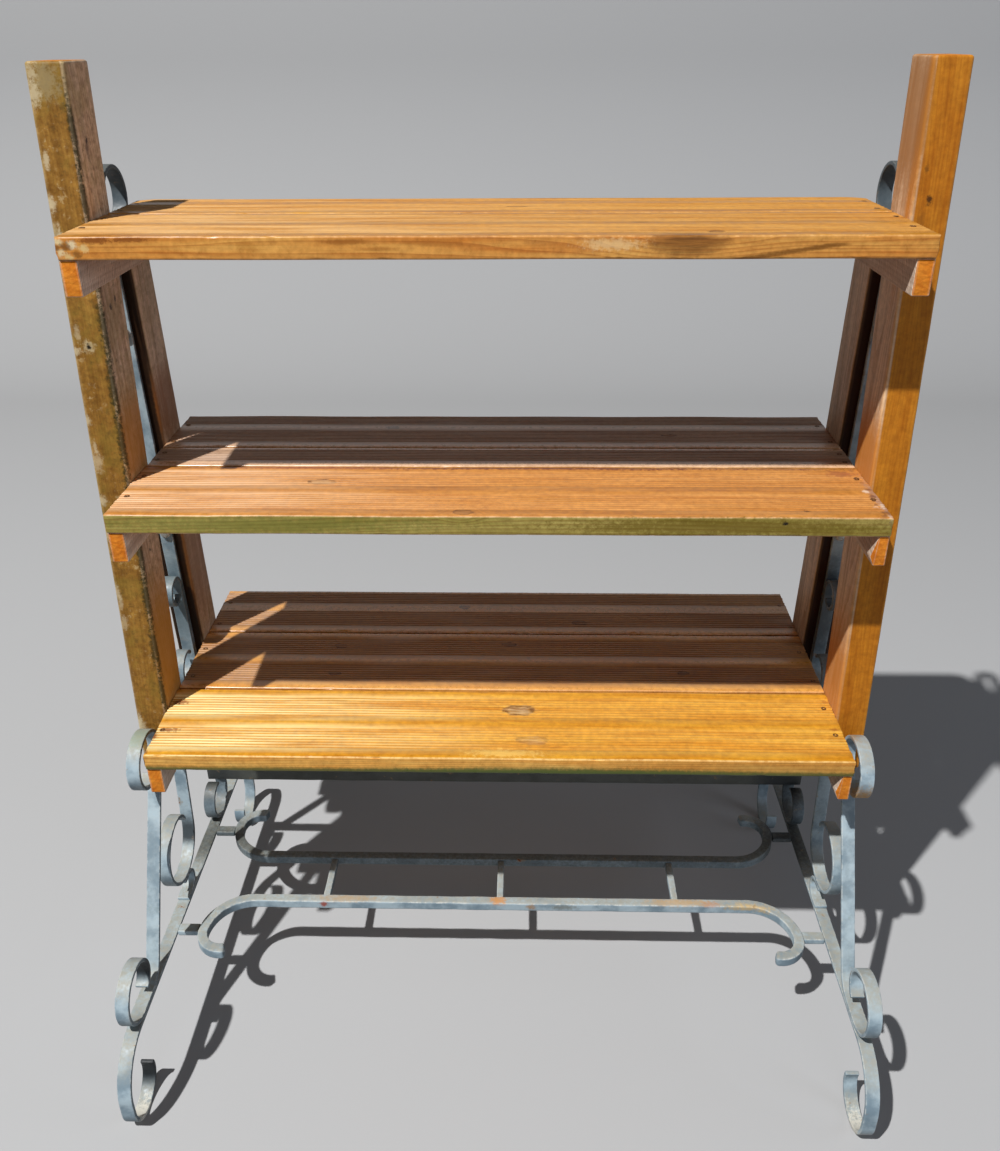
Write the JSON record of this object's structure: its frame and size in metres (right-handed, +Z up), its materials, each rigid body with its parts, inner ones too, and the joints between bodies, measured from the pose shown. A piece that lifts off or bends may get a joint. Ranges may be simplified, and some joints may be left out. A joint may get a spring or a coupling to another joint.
{
  "type": "plant stand",
  "caption": "Free-standing tiered plant stand: grooved decking shelves carried by cleats on leaning wooden posts, on scrolled iron end frames tied by stretchers.",
  "frame": {"origin": "on the floor, midway between the four feet", "axes": "+X to the right along the shelves, +Y to the back, +Z up"},
  "size_m": [0.984, 0.638, 1.259],
  "materials": {
    "decking": "grooved softwood decking with honey stain",
    "post_wood": "planed softwood with worn olive-brown stain",
    "sawn_cleat": "rough-sawn softwood, stained on the cut ends",
    "painted_iron": "chalky grey-blue and cream paint with rust spots",
    "screw_steel": "weathered zinc plating"
  },
  "bodies": {
    "root": {"bottom_front_board": "decking", "bottom_middle_board": "decking", "bottom_rear_board": "decking", "middle_front_board": "decking", "middle_strip_board": "decking", "middle_rear_board": "decking", "top_front_board": "decking", "top_rear_board": "decking", "left_front_post": "post_wood", "left_rear_post": "post_wood", "left_bottom_cleat": "sawn_cleat", "left_middle_cleat": "sawn_cleat", "left_top_cleat": "sawn_cleat", "left_base_rail": "painted_iron", "left_front_brace": "painted_iron", "left_front_upright": "painted_iron", "left_rear_upright": "painted_iron", "left_link_scroll": "painted_iron", "left_upper_scroll": "painted_iron", "left_front_tab": "painted_iron", "left_rear_tab": "painted_iron", "right_front_post": "post_wood", "right_rear_post": "post_wood", "right_bottom_cleat": "sawn_cleat", "right_middle_cleat": "sawn_cleat", "right_top_cleat": "sawn_cleat", "right_base_rail": "painted_iron", "right_front_brace": "painted_iron", "right_front_upright": "painted_iron", "right_rear_upright": "painted_iron", "right_link_scroll": "painted_iron", "right_upper_scroll": "painted_iron", "right_front_tab": "painted_iron", "right_rear_tab": "painted_iron", "front_stretcher": "painted_iron", "rear_stretcher": "painted_iron", "left_rung": "painted_iron", "middle_rung": "painted_iron", "right_rung": "painted_iron", "rear_cross_bar": "painted_iron", "left_front_coach_screw_low": "screw_steel", "left_front_coach_screw_high": "screw_steel", "left_rear_coach_screw_low": "screw_steel", "left_rear_coach_screw_high": "screw_steel", "left_bottom_cleat_screw_front": "screw_steel", "left_bottom_cleat_screw_rear": "screw_steel", "left_middle_cleat_screw_front": "screw_steel", "left_middle_cleat_screw_rear": "screw_steel", "left_top_cleat_screw_front": "screw_steel", "left_top_cleat_screw_rear": "screw_steel", "right_front_coach_screw_low": "screw_steel", "right_front_coach_screw_high": "screw_steel", "right_rear_coach_screw_low": "screw_steel", "right_rear_coach_screw_high": "screw_steel", "right_bottom_cleat_screw_front": "screw_steel", "right_bottom_cleat_screw_rear": "screw_steel", "right_middle_cleat_screw_front": "screw_steel", "right_middle_cleat_screw_rear": "screw_steel", "right_top_cleat_screw_front": "screw_steel", "right_top_cleat_screw_rear": "screw_steel"}
  },
  "joints": []
}
